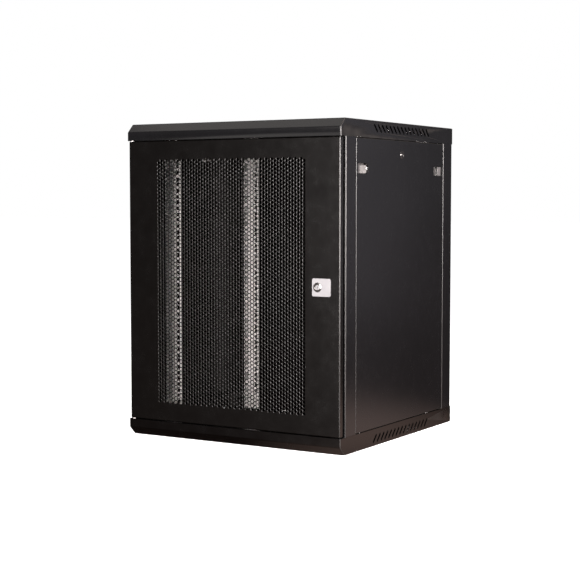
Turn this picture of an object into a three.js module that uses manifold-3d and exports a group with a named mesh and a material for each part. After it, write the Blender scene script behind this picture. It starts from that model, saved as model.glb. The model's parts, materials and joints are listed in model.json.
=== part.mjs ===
// Wall-mounting 19-inch network cabinet with a perforated door and two lift-off side panels.
// Millimetres. X runs across the width, the door is on the -Y side and Z is up.
// The origin is at the middle of the footprint, on the underside.

import * as THREE from "three";
import { mergeVertices } from "three/addons/utils/BufferGeometryUtils.js";
import Module from "manifold-3d";

const wasm = await Module();
wasm.setup();

// ---- Driving dimensions

const RACK_UNIT = 44.45;
const RACK_UNITS = 15;
const WIDTH = 600;
const DEPTH = 600;
const HEIGHT = 769;
const COVER_HEIGHT = 41;
const SHEET = 1.5;
const GAP = 0.4; // clearance between neighbouring pieces

const RIGHT = WIDTH / 2;
const FRONT = -DEPTH / 2;
const BACK = DEPTH / 2;
const BEYOND = 5; // how far a cutting tool runs past the face that it cuts

// Covers: trays with a bevelled front, side vents and a cable entry.
const BEVEL = 20;
const VENTS = 15;
const VENT_PITCH = 19.9;
const VENT_WIDTH = 6;
const VENT_RISE = 20; // a vent climbs this far, at 45 degrees
const VENT_MIDDLE_Z = 18;
const VENT_MIDDLE_Y = FRONT + 308.5;
const ENTRY_WIDTH = 300;
const ENTRY_DEPTH = 80;
const ENTRY_Y = BACK - 90;
const PLATE_LAP = 12; // how far the cable plate laps the sheet round its opening
const FAN_RADIUS = 54;
const FAN_X = 115;
const FAN_Y = -30;
const FAN_SLOTS = 11;
const FAN_SLOT_PITCH = 9.4;
const FAN_SLOT_WIDTH = 4.4;

// Corner posts.
const FRONT_POST_Y = FRONT + 24; // front face of the front posts
const FRONT_POST_DEPTH = 50;
const FRONT_POST_FACE = 45;
const REAR_POST_Y = BACK - 4; // rear face of the rear posts
const REAR_POST_DEPTH = 52;
const REAR_POST_FACE = 38;
const POST_STEP = 19; // how far the seat for the side panel lies inside the post's side
const POST_SEAT = 19;
const POST_END = 6; // the posts stop this far inside the covers

// Side panels.
const PANEL_RECESS = 1;
const PANEL_FOLD = 14;
const PANEL_FACE_X = RIGHT - PANEL_RECESS;
const PANEL_FRONT_Y = FRONT_POST_Y + FRONT_POST_DEPTH + 0.6;
const PANEL_REAR_Y = REAR_POST_Y - REAR_POST_DEPTH - 0.6;
const PANEL_BOTTOM = COVER_HEIGHT + 1;
const PANEL_TOP = HEIGHT - COVER_HEIGHT - 1;
const HOOK_DROP = 11;
const HOOK_WIDTH = 40;
const HOOK_Y = 110;
const HOOK_X = RIGHT - 7.2;

// Side panel slide latches. The depth is counted inwards from the panel's face.
const LATCH_Z = 656.5;
const LATCH_OPENING_NEAR = 8;
const LATCH_OPENING_FAR = 58;
const LATCH_OPENING_HEIGHT = 24;
const LATCH_BASE_DEPTH = 9.7;
const LATCH_SLIDE_HEIGHT = 22.4;
const LATCH_GRIP_DROP = 4;
const TONGUE_DEPTH = 7.2;
const TONGUE_HEIGHT = 14;

// Side panel locks.
const SIDE_LOCK_Z = 692.5;
const SIDE_LOCK_Y = (PANEL_FRONT_Y + PANEL_REAR_Y) / 2;
const LOCK_BODY_RADIUS = 8;
const PLUG_RADIUS = 5.6;
const SPIGOT_RADIUS = 3;
const CAM_LENGTH = 40;
const CAM_RADIUS = 8;
const CAM_THICKNESS = 2.5;
const SIDE_CAM_X = RIGHT - 12.5; // inner face of the side lock's cam

// Door. It turns on two pins at its left edge.
const DOOR_FRONT = FRONT + 2.5;
const DOOR_HALF_WIDTH = RIGHT - 3;
const DOOR_BOTTOM = COVER_HEIGHT + 1.5;
const DOOR_TOP = HEIGHT - COVER_HEIGHT - 1.5;
const DOOR_DEPTH = 15;
const DOOR_LIP = 10;
const MESH_LEFT = -211.5;
const MESH_RIGHT = 206.5;
const MESH_BOTTOM = 86;
const MESH_TOP = 683;
const HOLE_PITCH = 52; // coarse openings with the same open share as the fine perforation
const HOLE_SHARE = 0.76; // a hole's width across flats, as a share of the pitch
const HINGE_X = -RIGHT + 9;
const HINGE_Y = FRONT + 9;
const PIN_RADIUS = 3;
const PIN_CLEARANCE = 0.3;
const UPPER_GUIDE_Z = 690;
const COLLAR_Z = 716;
const UPPER_PIN_TOP = HEIGHT - COVER_HEIGHT + 8.5;
const LOWER_PIN_BOTTOM = COVER_HEIGHT - 11;
const BRACKET_GAP = 2; // from the door-side edge of a cover to its hinge bracket

// Door lock.
const LOCK_X = 238.5;
const LOCK_Z = HEIGHT / 2;
const LOCK_PLATE_LEFT = 225;
const LOCK_PLATE_RIGHT = 273;
const LOCK_PLATE_HEIGHT = 41;
const LOCK_PLATE_CORNER = 4;
const DOOR_LOCK_RADIUS = 9;
const BEZEL_RADIUS = 11;
const DOOR_CAM_Y = FRONT_POST_Y + 3.6;

// 19-inch rails and the brackets that they slide on.
const RAIL_INNER_X = 225;
const RAIL_OUTER_X = 271.5;
const RAIL_SHEET = 2;
const RAIL_FLANGE = 30;
const RAIL_END = 8;
const FRONT_RAIL_Y = FRONT + 117;
const REAR_RAIL_Y = FRONT + 482;
const EIA_HALF_WIDTH = 232.55;
const EIA_HOLE = 9.5;
const EIA_OFFSETS = [-15.875, 0, 15.875]; // hole heights within one rack unit
const SECOND_ROW_X = 264.8;
const SECOND_ROW_HOLE = 8;
const BOLT_BACK = 18; // from the rail's front face to its bolts
const BOLT_Z = 37;
const BOLT_RADIUS = 3;
const BRACKET_X = RAIL_OUTER_X + GAP;
const BRACKET_Z = 20;
const BRACKET_HEIGHT = 34;
const BRACKET_FOOT = 8;
const FRONT_RAIL_TRAVEL = [-30, 60];
const REAR_RAIL_TRAVEL = [-60, 18];

// ---- Finishes

const blackPaint = { color: 0x272527, roughness: 0.45, metalness: 0.1 };
const zinc = { color: 0xb9b6b4, roughness: 0.4, metalness: 0.9 };
const satinChrome = { color: 0xe8e6e8, roughness: 0.3, metalness: 0.9 };
const darkSteel = { color: 0x55524f, roughness: 0.5, metalness: 0.8 };

// ---- Solids

function toSolid(geometry) {
  const bare = geometry.clone();
  bare.deleteAttribute("normal");
  bare.deleteAttribute("uv");
  const merged = mergeVertices(bare, 1e-4);
  const vertProperties = merged.attributes.position.array;
  const triVerts = new Uint32Array(merged.index.array);
  return new wasm.Manifold(new wasm.Mesh({ numProp: 3, vertProperties, triVerts }));
}

function toGeometry(solid) {
  const { vertProperties, triVerts } = solid.getMesh();
  const geometry = new THREE.BufferGeometry();
  geometry.setAttribute("position", new THREE.BufferAttribute(vertProperties.slice(), 3));
  geometry.setIndex(new THREE.BufferAttribute(triVerts.slice(), 1));
  const flat = geometry.toNonIndexed();
  flat.computeVertexNormals();
  return flat;
}

function block(x0, x1, y0, y1, z0, z1) {
  const geometry = new THREE.BoxGeometry(x1 - x0, y1 - y0, z1 - z0);
  geometry.translate((x0 + x1) / 2, (y0 + y1) / 2, (z0 + z1) / 2);
  return toSolid(geometry);
}

// An outline of [a, b] points, extruded along the third axis.
function extruded(outline, length) {
  const shape = new THREE.Shape(outline.map(([a, b]) => new THREE.Vector2(a, b)));
  return new THREE.ExtrudeGeometry(shape, { depth: length, bevelEnabled: false });
}

// The outline's points are [x, y].
function prismZ(outline, z0, z1) {
  return toSolid(extruded(outline, z1 - z0).translate(0, 0, z0));
}

// The outline's points are [y, z].
function prismX(outline, x0, x1) {
  const turn = new THREE.Matrix4().makeBasis(
    new THREE.Vector3(0, 1, 0),
    new THREE.Vector3(0, 0, 1),
    new THREE.Vector3(1, 0, 0),
  );
  return toSolid(extruded(outline, x1 - x0).applyMatrix4(turn).translate(x0, 0, 0));
}

// The outline's points are [x, z].
function prismY(outline, y0, y1) {
  return toSolid(extruded(outline, y1 - y0).rotateX(Math.PI / 2).translate(0, y1, 0));
}

// A profile of [radius, height] points spun about Z. It starts and ends on the axis, or closes.
function turnedGeometry(profile, segments = 20) {
  const points = profile.map(([radius, height]) => new THREE.Vector2(radius, height));
  return new THREE.LatheGeometry(points, segments).rotateX(Math.PI / 2);
}

function rodZ(radius, z0, z1, x = 0, y = 0, segments = 16) {
  const geometry = new THREE.CylinderGeometry(radius, radius, z1 - z0, segments);
  return toSolid(geometry.rotateX(Math.PI / 2).translate(x, y, (z0 + z1) / 2));
}

function rodY(radius, y0, y1, x, z, segments = 16) {
  const geometry = new THREE.CylinderGeometry(radius, radius, y1 - y0, segments);
  return toSolid(geometry.translate(x, (y0 + y1) / 2, z));
}

function rodX(radius, x0, x1, y, z, segments = 16) {
  const geometry = new THREE.CylinderGeometry(radius, radius, x1 - x0, segments);
  return toSolid(geometry.rotateZ(Math.PI / 2).translate((x0 + x1) / 2, y, z));
}

const join = (first, ...others) => others.reduce((all, solid) => all.add(solid), first);
const cut = (solid, tools) => tools.reduce((all, tool) => all.subtract(tool), solid);

// Points on an arc from one angle to another, in degrees.
function arc(a, b, radius, from, to, steps) {
  return Array.from({ length: steps + 1 }, (_, i) => {
    const angle = THREE.MathUtils.degToRad(from + ((to - from) * i) / steps);
    return [a + radius * Math.cos(angle), b + radius * Math.sin(angle)];
  });
}

// A slot with round ends, centred on the origin and turned by the angle.
function slotOutline(length, width, angle, steps = 3) {
  const reach = (length - width) / 2;
  const points = [
    ...arc(reach, 0, width / 2, -90, 90, steps),
    ...arc(-reach, 0, width / 2, 90, 270, steps),
  ];
  const c = Math.cos(angle);
  const s = Math.sin(angle);
  return points.map(([a, b]) => [a * c - b * s, a * s + b * c]);
}

const moved = (outline, da, db) => outline.map(([a, b]) => [a + da, b + db]);

// ---- The assembly

const cabinet = new THREE.Group();

function addPiece(group, name, geometry, finish) {
  const mesh = new THREE.Mesh(geometry, new THREE.MeshStandardMaterial(finish));
  mesh.name = name;
  group.add(mesh);
  return mesh;
}

function addGroup(parent, { position = [0, 0, 0], scale = [1, 1, 1], rotation = [0, 0, 0] }) {
  const group = new THREE.Group();
  group.position.set(...position);
  group.scale.set(...scale);
  group.rotation.set(...rotation);
  parent.add(group);
  return group;
}

// ---- Covers and cable plates. Each is drawn as the bottom one; the top one is the same, turned over.

function ventCuts() {
  const length = Math.SQRT2 * (VENT_RISE - VENT_WIDTH) + VENT_WIDTH;
  const outline = slotOutline(length, VENT_WIDTH, Math.PI / 4);
  return Array.from({ length: VENTS }, (_, i) => {
    const y = VENT_MIDDLE_Y + (i - (VENTS - 1) / 2) * VENT_PITCH;
    return prismX(moved(outline, y, VENT_MIDDLE_Z), -RIGHT - BEYOND, RIGHT + BEYOND);
  });
}

function fanCuts() {
  const cuts = [];
  for (const x of [-FAN_X, FAN_X]) {
    for (let i = 0; i < FAN_SLOTS; i += 1) {
      const across = (i - (FAN_SLOTS - 1) / 2) * FAN_SLOT_PITCH;
      const reach = Math.sqrt(FAN_RADIUS ** 2 - across ** 2);
      const left = x + across - FAN_SLOT_WIDTH / 2;
      const right = left + FAN_SLOT_WIDTH;
      cuts.push(block(left, right, FAN_Y - reach, FAN_Y + reach, -BEYOND, BEYOND));
    }
  }
  return cuts;
}

const PLATE_SCREWS = [-1, 1].map((side) => side * (ENTRY_WIDTH / 2 + PLATE_LAP / 2));

function cover(withFans) {
  const outer = [
    [FRONT + BEVEL, 0],
    [BACK, 0],
    [BACK, COVER_HEIGHT],
    [FRONT, COVER_HEIGHT],
    [FRONT, BEVEL],
  ];
  const slant = SHEET * Math.tan(Math.PI / 8); // keeps the bevel as thick as the sheet
  const inner = [
    [FRONT + BEVEL + slant, SHEET],
    [BACK - SHEET, SHEET],
    [BACK - SHEET, COVER_HEIGHT + BEYOND],
    [FRONT + SHEET, COVER_HEIGHT + BEYOND],
    [FRONT + SHEET, BEVEL + slant],
  ];
  const tray = prismX(outer, -RIGHT, RIGHT).subtract(prismX(inner, -RIGHT + SHEET, RIGHT - SHEET));
  const entryHalf = ENTRY_WIDTH / 2;
  const entry = block(
    -entryHalf,
    entryHalf,
    ENTRY_Y - ENTRY_DEPTH / 2,
    ENTRY_Y + ENTRY_DEPTH / 2,
    -BEYOND,
    BEYOND,
  );
  const screwHoles = PLATE_SCREWS.map((x) => rodZ(2.2, -BEYOND, BEYOND, x, ENTRY_Y, 8));
  const fans = withFans ? fanCuts() : [];
  return toGeometry(cut(tray, [...ventCuts(), ...fans, entry, ...screwHoles]));
}

function cablePlate() {
  const halfWidth = ENTRY_WIDTH / 2 + PLATE_LAP;
  const halfDepth = ENTRY_DEPTH / 2 + PLATE_LAP;
  const low = SHEET + GAP;
  const sheet = block(
    -halfWidth,
    halfWidth,
    ENTRY_Y - halfDepth,
    ENTRY_Y + halfDepth,
    low,
    low + SHEET,
  );
  const holes = PLATE_SCREWS.map((x) => rodZ(2.2, -BEYOND, BEYOND, x, ENTRY_Y, 8));
  return toGeometry(cut(sheet, holes));
}

function plateScrew() {
  const seat = 2 * (SHEET + GAP);
  const shank = [[0, 0.4], [1.8, 0.4], [1.8, seat]];
  const head = [[3.4, seat], [3.4, seat + 2.4], [0, seat + 2.4]];
  return turnedGeometry([...shank, ...head], 12);
}

function addCover(level, placing) {
  const end = addGroup(cabinet, placing);
  addPiece(end, `${level}_cover`, cover(level === "top"), blackPaint);
  addPiece(end, `${level}_cable_plate`, cablePlate(), blackPaint);
  ["a", "b"].forEach((letter, i) => {
    const screw = addPiece(end, `${level}_plate_screw_${letter}`, plateScrew(), zinc);
    screw.position.set(PLATE_SCREWS[i], ENTRY_Y, 0);
  });
}

// ---- Corner posts: folded sheet with a face, a side, a step and a seat for the side panel.
// y = 0 is the post's outward face and y grows towards the middle of the cabinet.

function cornerPost(depth, face) {
  const low = COVER_HEIGHT + GAP;
  const high = HEIGHT - COVER_HEIGHT - GAP;
  const endLow = POST_END;
  const endHigh = HEIGHT - POST_END;
  const tucked = RIGHT - SHEET - GAP; // outer side of the ends, inside the covers
  const faceX = RIGHT - face;
  const seatX = RIGHT - POST_STEP;
  const stepY = depth - SHEET;
  const body = join(
    block(RIGHT - SHEET, RIGHT, 0, depth, low, high),
    block(faceX, RIGHT, 0, SHEET, low, high),
    block(seatX, RIGHT, stepY, depth, low, high),
    block(faceX, tucked, 0, SHEET, endLow, endHigh),
    block(seatX, tucked, stepY, depth, endLow, endHigh),
    block(seatX, seatX + SHEET, stepY, depth + POST_SEAT, endLow, endHigh),
    block(tucked - SHEET, tucked, 0, depth, endLow, low + POST_END),
    block(tucked - SHEET, tucked, 0, depth, high - POST_END, endHigh),
  );
  const tongueSlot = block(
    PANEL_FACE_X - LATCH_BASE_DEPTH - 0.8,
    PANEL_FACE_X - TONGUE_DEPTH + 0.8,
    stepY - BEYOND,
    depth + BEYOND,
    LATCH_Z - TONGUE_HEIGHT / 2 - 1,
    LATCH_Z + TONGUE_HEIGHT / 2 + 1,
  );
  return toGeometry(body.subtract(tongueSlot));
}

function addPosts(side, name) {
  const front = addGroup(side, { position: [0, FRONT_POST_Y, 0] });
  addPiece(front, `front_${name}_post`, cornerPost(FRONT_POST_DEPTH, FRONT_POST_FACE), blackPaint);
  const rear = addGroup(side, { position: [0, REAR_POST_Y, 0], scale: [1, -1, 1] });
  addPiece(rear, `rear_${name}_post`, cornerPost(REAR_POST_DEPTH, REAR_POST_FACE), blackPaint);
}

// ---- Back panel: a shallow pan between the rear posts, with four keyholes to hang it by.

function backPanel() {
  const half = RIGHT - REAR_POST_FACE - GAP;
  const fold = 12;
  const low = COVER_HEIGHT + 1;
  const high = HEIGHT - COVER_HEIGHT - 1;
  const pan = block(-half, half, REAR_POST_Y - fold, REAR_POST_Y, low, high).subtract(
    block(
      -half + SHEET,
      half - SHEET,
      REAR_POST_Y - fold - BEYOND,
      REAR_POST_Y - SHEET,
      low + SHEET,
      high - SHEET,
    ),
  );
  const keyholeX = 135;
  const cuts = [];
  for (const x of [-keyholeX, keyholeX]) {
    for (const z of [low + 75, high - 85]) {
      const [y0, y1] = [REAR_POST_Y - SHEET - BEYOND, REAR_POST_Y + BEYOND];
      cuts.push(rodY(7, y0, y1, x, z, 16));
      cuts.push(prismY(moved(slotOutline(26, 7, Math.PI / 2), x, z + 9), y0, y1));
    }
  }
  return toGeometry(cut(pan, cuts));
}

// ---- Side panels

const latchOpening = () => {
  const half = LATCH_OPENING_HEIGHT / 2;
  const roundEnd = arc(LATCH_OPENING_FAR - half, 0, half, -90, 90, 10);
  return [[LATCH_OPENING_NEAR, -half], ...roundEnd, [LATCH_OPENING_NEAR, half]];
};

function sidePanel() {
  const inner = PANEL_FACE_X - PANEL_FOLD;
  const skin = PANEL_FACE_X - SHEET;
  const pan = block(inner, PANEL_FACE_X, PANEL_FRONT_Y, PANEL_REAR_Y, PANEL_BOTTOM, PANEL_TOP).subtract(
    block(
      inner - BEYOND,
      skin,
      PANEL_FRONT_Y + SHEET,
      PANEL_REAR_Y - SHEET,
      PANEL_BOTTOM + SHEET,
      PANEL_TOP - SHEET,
    ),
  );
  const hooks = [-HOOK_Y, HOOK_Y].map((y) =>
    block(
      HOOK_X,
      HOOK_X + SHEET,
      SIDE_LOCK_Y + y - HOOK_WIDTH / 2,
      SIDE_LOCK_Y + y + HOOK_WIDTH / 2,
      PANEL_BOTTOM - HOOK_DROP,
      PANEL_BOTTOM + SHEET / 2,
    ),
  );
  const far = latchOpening();
  const near = far.map(([y, z]) => [-y, z]).reverse();
  const openings = [
    prismX(moved(far, PANEL_FRONT_Y, LATCH_Z), skin - BEYOND, RIGHT),
    prismX(moved(near, PANEL_REAR_Y, LATCH_Z), skin - BEYOND, RIGHT),
  ];
  const tongueSlots = [PANEL_FRONT_Y, PANEL_REAR_Y].map((y) =>
    block(
      PANEL_FACE_X - LATCH_BASE_DEPTH - 0.6,
      PANEL_FACE_X - TONGUE_DEPTH + 0.6,
      y - BEYOND,
      y + BEYOND,
      LATCH_Z - TONGUE_HEIGHT / 2 - 0.8,
      LATCH_Z + TONGUE_HEIGHT / 2 + 0.8,
    ),
  );
  const lockHole = rodX(LOCK_BODY_RADIUS + GAP, skin - BEYOND, RIGHT, SIDE_LOCK_Y, SIDE_LOCK_Z);
  const camSlot = block(
    SIDE_CAM_X - 0.6,
    SIDE_CAM_X + CAM_THICKNESS + 0.6,
    SIDE_LOCK_Y - CAM_RADIUS - 3,
    SIDE_LOCK_Y + CAM_RADIUS + 23,
    PANEL_TOP - SHEET - BEYOND,
    PANEL_TOP + BEYOND,
  );
  return toGeometry(cut(join(pan, ...hooks), [...openings, ...tongueSlots, lockHole, camSlot]));
}

// Latch pieces are drawn with y counted from the panel's edge and z from the latch's middle.

const inFromFace = (points) => points.map(([depth, y]) => [PANEL_FACE_X - depth, y]);

function latchSlide() {
  const half = LATCH_SLIDE_HEIGHT / 2;
  const tongueRamp = [[1.9, 9.5], [LATCH_BASE_DEPTH, 9.5], [LATCH_BASE_DEPTH, 26], [4.9, 25]];
  const gripRamp = [[8.6, 24], [LATCH_BASE_DEPTH, 24], [LATCH_BASE_DEPTH, 50.5], [1.9, 50.5], [8.6, 30]];
  return toGeometry(
    join(
      prismZ(inFromFace(tongueRamp), -half, half),
      prismZ(inFromFace(gripRamp), -half, half - LATCH_GRIP_DROP),
      block(
        PANEL_FACE_X - LATCH_BASE_DEPTH,
        PANEL_FACE_X - TONGUE_DEPTH,
        1.9,
        12,
        -TONGUE_HEIGHT / 2,
        TONGUE_HEIGHT / 2,
      ),
    ),
  );
}

function latchHousing() {
  const top = PANEL_FACE_X - SHEET - GAP;
  const bottom = PANEL_FACE_X - LATCH_BASE_DEPTH - GAP - SHEET;
  const half = LATCH_OPENING_HEIGHT / 2 + 0.8 + SHEET;
  const near = 5;
  const far = LATCH_OPENING_FAR + 2.5;
  const cup = block(bottom, top, near, far, -half, half);
  const hollow = block(
    bottom + SHEET,
    top + BEYOND,
    near - BEYOND,
    far - SHEET,
    -half + SHEET,
    half - SHEET,
  );
  return toGeometry(cup.subtract(hollow));
}

function latchSpring() {
  const strip = [[9.2, 58.4], [6, 50.9], [2.8, 58.4], [3.7, 58.4], [6, 52.9], [8.3, 58.4]];
  return toGeometry(prismZ(inFromFace(strip), -4, 4));
}

function addLatch(side, name, placing) {
  const latch = addGroup(side, placing);
  addPiece(latch, `${name}_latch_slide`, latchSlide(), zinc);
  addPiece(latch, `${name}_latch_housing`, latchHousing(), zinc);
  addPiece(latch, `${name}_latch_spring`, latchSpring(), darkSteel);
}

// ---- Locks. A barrel holds a turning plug, and the plug's spigot carries the cam.
// z = 0 is the plug's face and z grows inwards.

function lockBarrel(bezelRadius, bodyRadius, bezelDepth, length) {
  const bore = PLUG_RADIUS + PIN_CLEARANCE;
  return turnedGeometry(
    [
      [bore, bezelDepth],
      [bezelRadius - 0.8, 0],
      [bezelRadius, 0.5],
      [bezelRadius, bezelDepth],
      [bodyRadius, bezelDepth],
      [bodyRadius, length],
      [bore, length],
      [bore, bezelDepth],
    ],
    24,
  );
}

function lockPlug(length, spigot) {
  const plug = toSolid(
    turnedGeometry(
      [
        [0, 0.2],
        [PLUG_RADIUS - 0.5, 0.2],
        [PLUG_RADIUS, 0.7],
        [PLUG_RADIUS, length],
        [SPIGOT_RADIUS, length],
        [SPIGOT_RADIUS, length + spigot],
        [0, length + spigot],
      ],
      20,
    ),
  );
  return toGeometry(plug.subtract(block(-0.8, 0.8, -3.6, 3.6, -BEYOND, 4)));
}

// The cam points along +x of its own frame, and its flat sides face z.
function lockCam() {
  const outline = [
    ...arc(0, 0, CAM_RADIUS, 90, 270, 8),
    ...arc(CAM_LENGTH - 3, -CAM_RADIUS + 5, 3, -90, 0, 3),
    ...arc(CAM_LENGTH - 3, CAM_RADIUS - 5, 3, 0, 90, 3),
  ];
  const bore = rodZ(SPIGOT_RADIUS + PIN_CLEARANCE, -BEYOND, BEYOND);
  return toGeometry(prismZ(outline, 0, CAM_THICKNESS).subtract(bore));
}

function addSideLock(side, name) {
  const bezelDepth = 0.8;
  const faceX = RIGHT;
  const length = faceX - (SIDE_CAM_X + CAM_THICKNESS + 0.3);
  const lock = addGroup(side, {
    position: [faceX, SIDE_LOCK_Y, SIDE_LOCK_Z],
    rotation: [0, -Math.PI / 2, 0],
  });
  const barrel = lockBarrel(10, LOCK_BODY_RADIUS, bezelDepth, length - 0.2);
  addPiece(lock, `${name}_side_lock_barrel`, barrel, satinChrome);
  addPiece(lock, `${name}_side_lock_plug`, lockPlug(length, 4.5), satinChrome);
  const cam = addPiece(lock, `${name}_side_lock_cam`, lockCam(), zinc);
  cam.position.z = length + 0.3;
  cam.rotation.z = Math.PI / 2;
}

function addDoorLock() {
  const faceY = FRONT + 0.6;
  const length = DOOR_CAM_Y - 0.3 - faceY;
  const lock = addGroup(cabinet, {
    position: [LOCK_X, faceY, LOCK_Z],
    rotation: [-Math.PI / 2, 0, 0],
  });
  const barrel = lockBarrel(BEZEL_RADIUS, DOOR_LOCK_RADIUS, 1.6, length - 0.2);
  addPiece(lock, "door_lock_barrel", barrel, satinChrome);
  addPiece(lock, "door_lock_plug", lockPlug(length, 4.8), satinChrome);
  const cam = addPiece(lock, "door_lock_cam", lockCam(), zinc);
  cam.position.z = length + 0.3;
  cam.rotation.z = Math.PI / 2;
}

function lockPlate() {
  const radius = LOCK_PLATE_CORNER;
  const [left, right] = [LOCK_PLATE_LEFT + radius, LOCK_PLATE_RIGHT - radius];
  const [low, high] = [LOCK_Z - LOCK_PLATE_HEIGHT / 2 + radius, LOCK_Z + LOCK_PLATE_HEIGHT / 2 - radius];
  const outline = [
    ...arc(right, low, radius, -90, 0, 4),
    ...arc(right, high, radius, 0, 90, 4),
    ...arc(left, high, radius, 90, 180, 4),
    ...arc(left, low, radius, 180, 270, 4),
  ];
  const sheet = prismY(outline, FRONT + 0.5, DOOR_FRONT - 0.3);
  const hole = rodY(BEZEL_RADIUS + 0.3, FRONT - BEYOND, FRONT + BEYOND, LOCK_X, LOCK_Z, 32);
  return toGeometry(sheet.subtract(hole));
}

// ---- Door: one pressed sheet with folded edges and return lips.

function doorHoles() {
  const columns = HOLE_PITCH * Math.cos(Math.PI / 6);
  const radius = (HOLE_PITCH * HOLE_SHARE) / 2 / Math.cos(Math.PI / 6);
  const count = Math.floor((MESH_RIGHT - MESH_LEFT - 2 * radius) / columns) + 1;
  const rows = Math.floor((MESH_TOP - MESH_BOTTOM - HOLE_PITCH / 2) / HOLE_PITCH);
  const middleX = (MESH_LEFT + MESH_RIGHT) / 2;
  const middleZ = (MESH_BOTTOM + MESH_TOP) / 2;
  const hexagon = arc(0, 0, radius, 0, 300, 5);
  const holes = [];
  for (let i = 0; i < count; i += 1) {
    const x = middleX + (i - (count - 1) / 2) * columns;
    const shift = i % 2 ? HOLE_PITCH / 4 : -HOLE_PITCH / 4;
    for (let j = 0; j < rows; j += 1) {
      const z = middleZ + (j - (rows - 1) / 2) * HOLE_PITCH + shift;
      holes.push(prismY(moved(hexagon, x, z), DOOR_FRONT - 1, DOOR_FRONT + SHEET + 1));
    }
  }
  return holes;
}

function doorPanel() {
  const half = DOOR_HALF_WIDTH;
  const back = DOOR_FRONT + DOOR_DEPTH;
  const shell = block(-half, half, DOOR_FRONT, back, DOOR_BOTTOM, DOOR_TOP);
  const hollow = block(
    -half + SHEET,
    half - SHEET,
    DOOR_FRONT + SHEET,
    back - SHEET,
    DOOR_BOTTOM + SHEET,
    DOOR_TOP - SHEET,
  );
  const mouth = block(
    -half + DOOR_LIP,
    half - DOOR_LIP,
    back - SHEET - 1,
    back + BEYOND,
    DOOR_BOTTOM + DOOR_LIP,
    DOOR_TOP - DOOR_LIP,
  );
  const guide = block(
    -half + SHEET / 2,
    HINGE_X + 8,
    DOOR_FRONT + SHEET / 2,
    HINGE_Y + 5,
    UPPER_GUIDE_Z,
    UPPER_GUIDE_Z + 2,
  );
  const pinHole = PIN_RADIUS + PIN_CLEARANCE;
  const lockHole = rodY(DOOR_LOCK_RADIUS + GAP, FRONT, FRONT + 8, LOCK_X, LOCK_Z, 24);
  const pinHoles = [
    rodZ(pinHole, DOOR_BOTTOM - BEYOND, DOOR_BOTTOM + BEYOND, HINGE_X, HINGE_Y, 16),
    rodZ(pinHole, UPPER_GUIDE_Z - BEYOND, DOOR_TOP + BEYOND, HINGE_X, HINGE_Y, 16),
  ];
  const sheet = join(shell.subtract(hollow).subtract(mouth), guide);
  return toGeometry(cut(sheet, [...doorHoles(), lockHole, ...pinHoles]));
}

// ---- Hinge: a sprung pin at the top, a fixed pin at the bottom, and a bracket in each cover.

function upperHingePin() {
  const pin = toSolid(
    turnedGeometry(
      [
        [0, UPPER_GUIDE_Z - 12],
        [PIN_RADIUS, UPPER_GUIDE_Z - 12],
        [PIN_RADIUS, COLLAR_Z],
        [4.4, COLLAR_Z],
        [4.4, COLLAR_Z + 2],
        [PIN_RADIUS, COLLAR_Z + 2],
        [PIN_RADIUS, UPPER_PIN_TOP - 1],
        [PIN_RADIUS - 1, UPPER_PIN_TOP],
        [0, UPPER_PIN_TOP],
      ],
      16,
    ),
  );
  const pullArm = block(1, 16, -1.5, 1.5, UPPER_GUIDE_Z - 11, UPPER_GUIDE_Z - 8);
  return toGeometry(pin.add(pullArm));
}

function lowerHingePin() {
  const seat = DOOR_BOTTOM + SHEET + GAP;
  return turnedGeometry(
    [
      [0, LOWER_PIN_BOTTOM],
      [PIN_RADIUS - 1, LOWER_PIN_BOTTOM],
      [PIN_RADIUS, LOWER_PIN_BOTTOM + 1],
      [PIN_RADIUS, seat],
      [4.4, seat],
      [4.4, seat + 2],
      [PIN_RADIUS, seat + 2],
      [PIN_RADIUS, seat + 14],
      [0, seat + 14],
    ],
    16,
  );
}

// A plain helix of square wire between the guide and the pin's collar.
function hingeSpring() {
  const wire = 0.45;
  const low = UPPER_GUIDE_Z + 2 + GAP + wire;
  const high = COLLAR_Z - GAP - wire;
  const coils = 5;
  const points = Array.from({ length: coils * 10 + 1 }, (_, i) => {
    const angle = (i / 10) * 2 * Math.PI;
    const z = low + ((high - low) * i) / (coils * 10);
    return new THREE.Vector3(3.85 * Math.cos(angle), 3.85 * Math.sin(angle), z);
  });
  const section = new THREE.Shape(arc(0, 0, wire, 0, 270, 3).map(([a, b]) => new THREE.Vector2(a, b)));
  const path = new THREE.CatmullRomCurve3(points);
  return new THREE.ExtrudeGeometry(section, { steps: coils * 10, extrudePath: path, bevelEnabled: false });
}

// z = 0 is the bracket's face nearest the door and z grows into the cover.
function hingeBracket() {
  const upright = 24;
  const wallY = FRONT_POST_Y - GAP;
  const tab = block(-RIGHT + 2.4, -RIGHT + 38, FRONT + 2.2, wallY, 0, 2);
  const flange = block(-RIGHT + 2.4, -RIGHT + 38, wallY - SHEET, wallY, 0, upright);
  const hole = rodZ(PIN_RADIUS + PIN_CLEARANCE, -BEYOND, BEYOND, HINGE_X, HINGE_Y, 16);
  return toGeometry(tab.add(flange).subtract(hole));
}

function addHinge() {
  const pins = addGroup(cabinet, { position: [HINGE_X, HINGE_Y, 0] });
  addPiece(pins, "upper_hinge_pin", upperHingePin(), zinc);
  addPiece(pins, "upper_hinge_spring", hingeSpring(), darkSteel);
  addPiece(pins, "lower_hinge_pin", lowerHingePin(), zinc);
  const upper = addGroup(cabinet, { position: [0, 0, HEIGHT - COVER_HEIGHT + BRACKET_GAP] });
  addPiece(upper, "upper_hinge_bracket", hingeBracket(), blackPaint);
  const lower = addGroup(cabinet, { position: [0, 0, COVER_HEIGHT - BRACKET_GAP], scale: [1, 1, -1] });
  addPiece(lower, "lower_hinge_bracket", hingeBracket(), blackPaint);
}

// ---- 19-inch rails. y = 0 is a rail's front face.

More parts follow.
